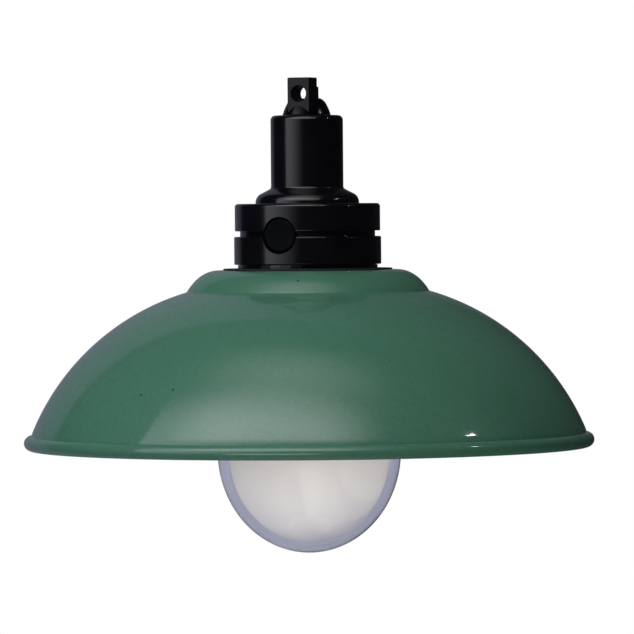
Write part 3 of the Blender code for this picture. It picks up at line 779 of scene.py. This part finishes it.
def shade_line(thickness):
    """The shade's outer face, or the face a thickness below it: its shoulder, bowl and rolled rim.

    The shoulder is part of an ellipse that starts at the flat round the neck and ends in a crease.
    """
    rim_r, top, _ = size_of("shade")
    bead_r, bead_turn = 3.3, 312
    bead = arc((rim_r - bead_r, top - 77.9), bead_r - thickness, 94, 94 - bead_turn, 40)

    neck_r, crease = 41.0, 9.5 + thickness * 0.35
    across, down = 20.8 - thickness, 34.7 - thickness
    count = 14
    drops = [crease * (i / count) ** 1.8 for i in range(count + 1)]
    reaches = [neck_r + across * math.sqrt(1 - (1 - drop / down) ** 2) for drop in drops]

    bowl_centre, bowl_r = (24.7, top - 115.2), 109.7 - thickness
    start = math.acos((reaches[-1] - bowl_centre[0]) / bowl_r)
    end = math.asin((bead[0][1] - bowl_centre[1]) / bowl_r)
    bowl = arc(bowl_centre, bowl_r, math.degrees(start), math.degrees(end), 64)

    face = top - thickness
    miss = bowl[0][1] - (face - crease)  # spread along the shoulder, so that it meets the bowl
    heights = [face - drop + miss * (i / count) ** 3 for i, drop in enumerate(drops)]
    return list(zip(reaches, heights)), bowl, bead


def shade(outside, inside):
    """Pressed steel with a shoulder, a crease, a bowl and a rolled rim; green out, white in."""
    hole_r, sheet, steps = 21.0, 0.8, 256
    shoulder, bowl, bead = shade_line(0.0)
    outer = [(hole_r + 0.25, shoulder[0][1]), *shoulder, *bowl[1:-1], *bead]
    shoulder, bowl, bead = shade_line(sheet)
    inner = [(hole_r, shoulder[0][1]), *shoulder, *bowl[1:-1], *bead]
    obj = lathe("shade_bowl", outer + inner[::-1], steps, closed=True)
    stands_for(obj, "shade", "lamp", "green_enamel", outside, inside)
    first_white = (len(outer) + len(bead)) * (steps // FINE)
    for face in obj.data.polygons[first_white:]:
        face.material_index = 1
    return obj


def shade_gasket(rubber):
    """A flat rubber ring under the lower ring, which shows only as a thin edge."""
    radius, top, bottom = size_of("shade_gasket")
    profile = ring_profile(SPIGOT_BORE_R, radius, top, bottom, [0.12] * 4)
    gasket = lathe("gasket", profile, 96, closed=True)
    return stands_for(gasket, "shade_gasket", "lamp", "rubber", rubber)


def shade_nut(plastic):
    """A ring nut with finger scallops round its edge."""
    radius, top, bottom = size_of("shade_nut")
    profile = ring_profile(SPIGOT_BORE_R, radius, top, bottom, (0.3, 0.5, 0.9, 0.4))
    nut = lathe("nut_ring", profile, 144, closed=True)
    scallops = []
    for i in range(6):
        place = on_circle(radius + 1.0, 60 * i)
        scallops.append(pin(f"scallop_{i}", 2.8, place, bottom - 2, top + 2, 32))
    cut(nut, "DIFFERENCE", *scallops)
    return stands_for(nut, "shade_nut", "lamp", "satin_black", plastic)


def globe_holder(plastic):
    """The plate and skirt that the globe screws into, with a rounded shoulder and lip."""
    radius, top, bottom = size_of("globe_holder")
    inside_r, plate = radius - 2.2, 3.0
    profile = [
        (0, top, 0),
        (radius, top, 1.6),
        (radius, bottom, 0.5),
        (inside_r, bottom, 0.4),
        (inside_r, top - plate, 0.4),
        (0, top - plate, 0),
    ]
    holder = lathe("holder", rounded(profile, 6), 160)
    holes = []
    for i in range(3):
        place = on_circle(15.0, 90 + 120 * i)
        holes.append(pin(f"hole_{i}", SCREW_HOLE_R, place, top - 8, top + 4))
    holes.append(pin("wire_hole", 3.4, (0, -14.6), top - 8, top + 8))
    cut(holder, "DIFFERENCE", *holes)
    return stands_for(holder, "globe_holder", "lamp", "satin_black", plastic)


def dome(name, radius, wall, equator, bottom, rim):
    """A round-ended cup. Its rim's points run from the inner face over to the outer one."""
    outside = quarter_dome(radius, equator, bottom, 40)
    inside = quarter_dome(radius - wall, equator, bottom + wall, 40)
    return lathe(name, [*reversed(inside), *rim, *outside], 144, sharp=math.radians(60))


def globe(plastic):
    """The clear outer globe."""
    radius, top, bottom = size_of("globe")
    wall, edge = 1.6, 0.3
    middle = radius - wall / 2
    rim = [
        (radius - wall, top - edge),
        (middle - 0.5, top),
        (middle + 0.5, top),
        (radius, top - edge),
    ]
    obj = dome("globe_clear", radius, wall, top - GLOBE_STRAIGHT, bottom, rim)
    return stands_for(obj, "globe", "globe", "clear_plastic", plastic)


def diffuser(plastic):
    """The frosted dome inside the globe, which hangs from the globe's rim by its flange."""
    flange_r, top, bottom = size_of("diffuser")
    radius, wall, flange, fillet = 36.8, 1.2, 1.2, 0.3
    rim = rounded(
        [
            (radius - wall, top - 4, 0),
            (radius - wall, top, fillet),
            (flange_r, top, fillet),
            (flange_r, top - flange, fillet),
            (radius, top - flange, fillet),
            (radius, top - 4, 0),
        ]
    )
    obj = dome("globe_frosted", radius, wall, top - 66.0, bottom, rim)
    return stands_for(obj, "diffuser", "diffuser", "frosted_plastic", plastic)


def finish_cad_nodes(black, satin):
    """Materials for the CAD nodes that stay: hidden pieces and those seen only on edge."""
    steel = metal("zinc_steel", (0.55, 0.55, 0.57), 0.3)
    red = coated("wire_red", (0.50, 0.02, 0.02), (0.42, 0.02, 0.02), 0.45)
    dark = coated("wire_black", (0.015, 0.015, 0.015), (0.03, 0.03, 0.03), 0.45)
    looks = {
        "base_plate": black,
        "battery_cradle": satin,
        "switch_body": satin,
        "lug_washer": steel,
        "lug_nut": steel,
        "battery_spring": steel,
        "charging_socket": steel,
        "battery_wire_red": red,
        "battery_wire_black": dark,
        "led_wire_red": red,
        "led_wire_black": dark,
        "battery_contact": metal("brass", (0.72, 0.52, 0.24), 0.28),
        "heat_spreader": metal("aluminium", (0.80, 0.80, 0.82), 0.34),
        "driver_board": circuit_board("green_board", (0.015, 0.11, 0.05), (0.04, 0.20, 0.09)),
        "led_board": circuit_board("white_board", (0.84, 0.84, 0.82), (0.76, 0.77, 0.76)),
        "switch_plunger": coated("white_plastic", (0.80, 0.80, 0.78), (0.74, 0.74, 0.72), 0.42),
        "led_emitter": coated("phosphor", (0.90, 0.66, 0.10), (0.84, 0.60, 0.08), 0.55, 1500),
        "battery_cell": coated("cell_wrap", (0.05, 0.17, 0.40), (0.06, 0.20, 0.44), 0.3),
        "globe_seal": coated("seal_rubber", (0.012,) * 3, (0.025,) * 3, 0.75, 900),
    }
    looks.update({f"housing_screw_{i}": steel for i in range(1, 5)})
    looks.update({f"led_screw_{i}": steel for i in range(1, 4)})
    for name, look in looks.items():
        data = NODES[name].data
        data.materials.clear()
        data.materials.append(look)


# ---------------------------------------------------------------- camera, light and floor


def direction(yaw, elevation):
    """A unit vector away from the lamp, at a yaw to the right of the camera, both in degrees."""
    turn = math.radians(CAMERA_AZIMUTH) + math.radians(yaw)
    lift = math.radians(elevation)
    flat = math.cos(lift)
    return Vector((math.sin(turn) * flat, -math.cos(turn) * flat, math.sin(lift)))


def camera():
    """From the button's side and a little above, far off, as a long lens sees it."""
    low, high = (Vector(corner) for corner in CAD_BOX)
    aim = Vector((0, 0, (low.z + high.z) / 2 - AIM_DOWN * MM)) + direction(90, 0) * AIM_RIGHT * MM
    away = direction(0, CAMERA_ELEVATION)
    data = bpy.data.cameras.new("camera")
    data.lens = LENS
    data.sensor_width = 36
    data.clip_end = 200
    look = (-away).to_track_quat("-Z", "Y").to_matrix().to_4x4()
    roll = Matrix.Rotation(math.radians(CAMERA_ROLL), 4, "Z")
    obj = add_object("camera", data)
    obj.matrix_world = Matrix.Translation(aim + away * CAMERA_DISTANCE) @ look @ roll
    bpy.context.scene.camera = obj


def smooth_ramp(tree, value, start, end):
    """From 0 at the start to 1 at the end, eased at both."""
    ramp = tree.nodes.new("ShaderNodeMapRange")
    ramp.interpolation_type = "SMOOTHSTEP"
    tree.links.new(value, ramp.inputs["Value"])
    ramp.inputs[1].default_value = start
    ramp.inputs[2].default_value = end
    return ramp.outputs[0]


def product(tree, first, second):
    node = tree.nodes.new("ShaderNodeMath")
    node.operation = "MULTIPLY"
    tree.links.new(first, node.inputs[0])
    tree.links.new(second, node.inputs[1])
    return node.outputs[0]


def soften(data, fades):
    """Fade a soft box out towards its left, right, bottom and top edges, over these shares of it."""
    data.use_nodes = True
    tree = data.node_tree
    split = tree.nodes.new("ShaderNodeSeparateXYZ")
    tree.links.new(tree.nodes.new("ShaderNodeNewGeometry").outputs["Parametric"], split.inputs[0])
    across, upwards = split.outputs[0], split.outputs[1]
    left, right, bottom, top = fades
    strength = smooth_ramp(tree, across, 0, left)
    for value, start, end in ((across, 1, 1 - right), (upwards, 0, bottom), (upwards, 1, 1 - top)):
        strength = product(tree, strength, smooth_ramp(tree, value, start, end))
    tree.links.new(strength, tree.nodes["Emission"].inputs["Strength"])


def soft_box(name, aim, distance, size, radiance, fades=(0.1, 0.1, 0.1, 0.1), colour=(1, 1, 1)):
    """A soft box that faces the lamp. Aim is its yaw to the right of the camera and its elevation."""
    away = direction(*aim)
    data = bpy.data.lights.new(name, "AREA")
    data.shape = "RECTANGLE"
    data.size, data.size_y = size
    data.energy = radiance * math.pi * size[0] * size[1]
    data.color = colour
    soften(data, fades)
    obj = add_object(name, data)
    obj.location = LIGHTS_CENTRE + away * distance
    obj.rotation_euler = away.to_track_quat("Z", "Y").to_euler()
    obj.visible_camera = False
    return obj


def flagged(light, state, *names):
    """Keep a light to some pieces (INCLUDE) or off them (EXCLUDE), as flags would."""
    chosen = bpy.data.collections.new(light.name + "_flag")
    for name in names:
        chosen.objects.link(bpy.data.objects[name])
    for entry in chosen.collection_objects:
        entry.light_linking.link_state = state
    light.light_linking.receiver_collection = chosen


def front_lights():
    """The lights that the enamel and the black gloss mirror."""
    soft_box(
        "key",
        aim=(-41, 22),
        distance=1.5,
        size=(1.9, 2.5),
        radiance=1.5,
        fades=(0.04, 0.85, 0.35, 0.4),
        colour=(0.94, 0.96, 1.07),
    )
    front = soft_box(
        "front",
        aim=(-19, 45),
        distance=1.6,
        size=(3.0, 1.6),
        radiance=2.9,
        fades=(0.4, 0.4, 0.5, 0.5),
    )
    flagged(front, "EXCLUDE", "lug")
    soft_box(
        "top",
        aim=(-18, 74),
        distance=1.7,
        size=(2.4, 1.4),
        radiance=1.1,
        fades=(0.5, 0.5, 0.5, 0.5),
    )
    low = soft_box(
        "low",
        aim=(-14, -16),
        distance=1.3,
        size=(1.1, 0.45),
        radiance=3.0,
        fades=(0.3, 0.3, 0.3, 0.5),
    )
    flagged(low, "INCLUDE", "housing_upper", "housing_lower", "button_cap", "shade_bowl")


def globe_lights():
    """Warm fills on both sides of the globe, which only the globe's two shells receive."""
    for name, yaw in (("globe_left", -48), ("globe_right", 52)):
        fill = soft_box(
            name,
            aim=(yaw, -8),
            distance=1.5,
            size=(1.2, 1.2),
            radiance=8.5,
            fades=(0.3, 0.3, 0.3, 0.3),
            colour=(1.0, 0.955, 0.84),
        )
        fill.visible_glossy = False
        fill.visible_transmission = False
        flagged(fill, "INCLUDE", "globe_frosted", "globe_clear")


def far_lights():
    """Fills behind and under the lamp, which show when it is seen from there."""
    for name, yaw in (("back_left", -160), ("back_right", 155)):
        back = soft_box(
            name,
            aim=(yaw, 30),
            distance=1.6,
            size=(1.6, 1.4),
            radiance=2.0,
            fades=(0.3, 0.3, 0.3, 0.3),
        )
        back.visible_glossy = False
        flagged(back, "EXCLUDE", "globe_frosted", "globe_clear")
    under = soft_box(
        "under",
        aim=(10, -68),
        distance=0.8,
        size=(0.9, 0.9),
        radiance=2.2,
        fades=(0.4, 0.4, 0.4, 0.4),
    )
    under.visible_glossy = False
    flagged(under, "EXCLUDE", "globe_frosted", "globe_clear")


def glints():
    """Small hard lights that leave bright points and short streaks on the gloss."""
    front = soft_box("glint_front", aim=(27, 38), distance=2.0, size=(0.06, 0.06), radiance=70)
    flagged(front, "INCLUDE", "housing_upper", "housing_lower")
    soft_box("glint_side", aim=(76, 31), distance=2.0, size=(0.14, 0.05), radiance=90)


def background(tree, colour, strength):
    node = tree.nodes.new("ShaderNodeBackground")
    node.inputs["Color"].default_value = (*colour, 1)
    node.inputs["Strength"].default_value = strength
    return node


def mix_shader(tree, factor, first, second):
    node = tree.nodes.new("ShaderNodeMixShader")
    tree.links.new(factor, node.inputs[0])
    tree.links.new(first.outputs[0], node.inputs[1])
    tree.links.new(second.outputs[0], node.inputs[2])
    return node


def turned_towards(tree, aim, start, end):
    """From 0 to 1 as the view turns towards an aim. Start and end are cosines."""
    facing = tree.nodes.new("ShaderNodeVectorMath")
    facing.operation = "DOT_PRODUCT"
    facing.inputs[1].default_value = aim
    tree.links.new(tree.nodes.new("ShaderNodeTexCoord").outputs["Generated"], facing.inputs[0])
    return smooth_ramp(tree, facing.outputs["Value"], start, end)


def world():
    """White where the camera looks past the lamp. What lights it is a dim room with a pale backdrop."""
    made = bpy.data.worlds.new("studio")
    made.use_nodes = True
    tree = made.node_tree
    tree.nodes.clear()
    right, nearer, up = direction(90, 0), direction(0, 0), Vector((0, 0, 1))
    past_edge = turned_towards(tree, right * 0.575 - nearer * 0.771 - up * 0.275, 0.03, 0.1)
    on_left = turned_towards(tree, -right, -0.25, 0.1)
    dim = background(tree, (0.85, 0.9, 1.0), 0.02)
    backdrop = background(tree, (0.8, 0.85, 1.1), 0.2)
    through = background(tree, (0.82, 0.84, 1.0), 0.55)
    white = background(tree, (1, 1, 1), 1.0)
    path = tree.nodes.new("ShaderNodeLightPath")
    room = mix_shader(tree, product(tree, past_edge, on_left), dim, backdrop)
    lit = mix_shader(tree, path.outputs["Is Transmission Ray"], room, through)
    seen = mix_shader(tree, path.outputs["Is Camera Ray"], lit, white)
    out = tree.nodes.new("ShaderNodeOutputWorld")
    tree.links.new(seen.outputs[0], out.inputs["Surface"])
    bpy.context.scene.world = made


def floor():
    """A pale round floor well under the lamp, which hangs clear of it."""
    drop, radius, thick, chamfer = 1500, 560, 20, 6
    top = CAD_BOX[0][2] / MM - drop
    edge = [(radius, top), (radius + chamfer, top - chamfer), (radius + chamfer, top - thick)]
    obj = lathe("floor", [(0, top), *edge, (0, top - thick)], 128)
    g = Graph("floor_paint")
    clouds = g.span(g.noise(4, 3), 0.3, 0.7)
    g.set(
        Base_Color=g.blend(clouds, (0.82, 0.82, 0.83), (0.78, 0.78, 0.79)),
        Roughness=g.span(g.noise(30), 0.3, 0.7, 0.55, 0.7),
        Normal=g.bump(g.noise(300), 0.0001),
    )
    obj.data.materials.append(g.material)
    obj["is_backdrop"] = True


# ---------------------------------------------------------------- assembly


def main():
    black = housing_black()
    satin = satin_black()
    rubber = coated("flap_rubber", (0.010, 0.010, 0.011), (0.02, 0.02, 0.021), 0.7, 1100, 0.00006)
    hanging_lug(lug_black())
    upper_housing(black)
    lower_housing(black)
    button(button_black())
    port_flap(rubber)
    shade(green_enamel(), white_enamel())
    shade_gasket(rubber)
    shade_nut(satin)
    globe_holder(satin)
    globe(clear_plastic())
    diffuser(frosted_plastic())
    finish_cad_nodes(black, satin)
    camera()
    front_lights()
    globe_lights()
    far_lights()
    glints()
    world()
    floor()
    bpy.context.scene.view_settings.view_transform = "Standard"


main()
{"cad": CAD_BOX, "visual": plain(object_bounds())}
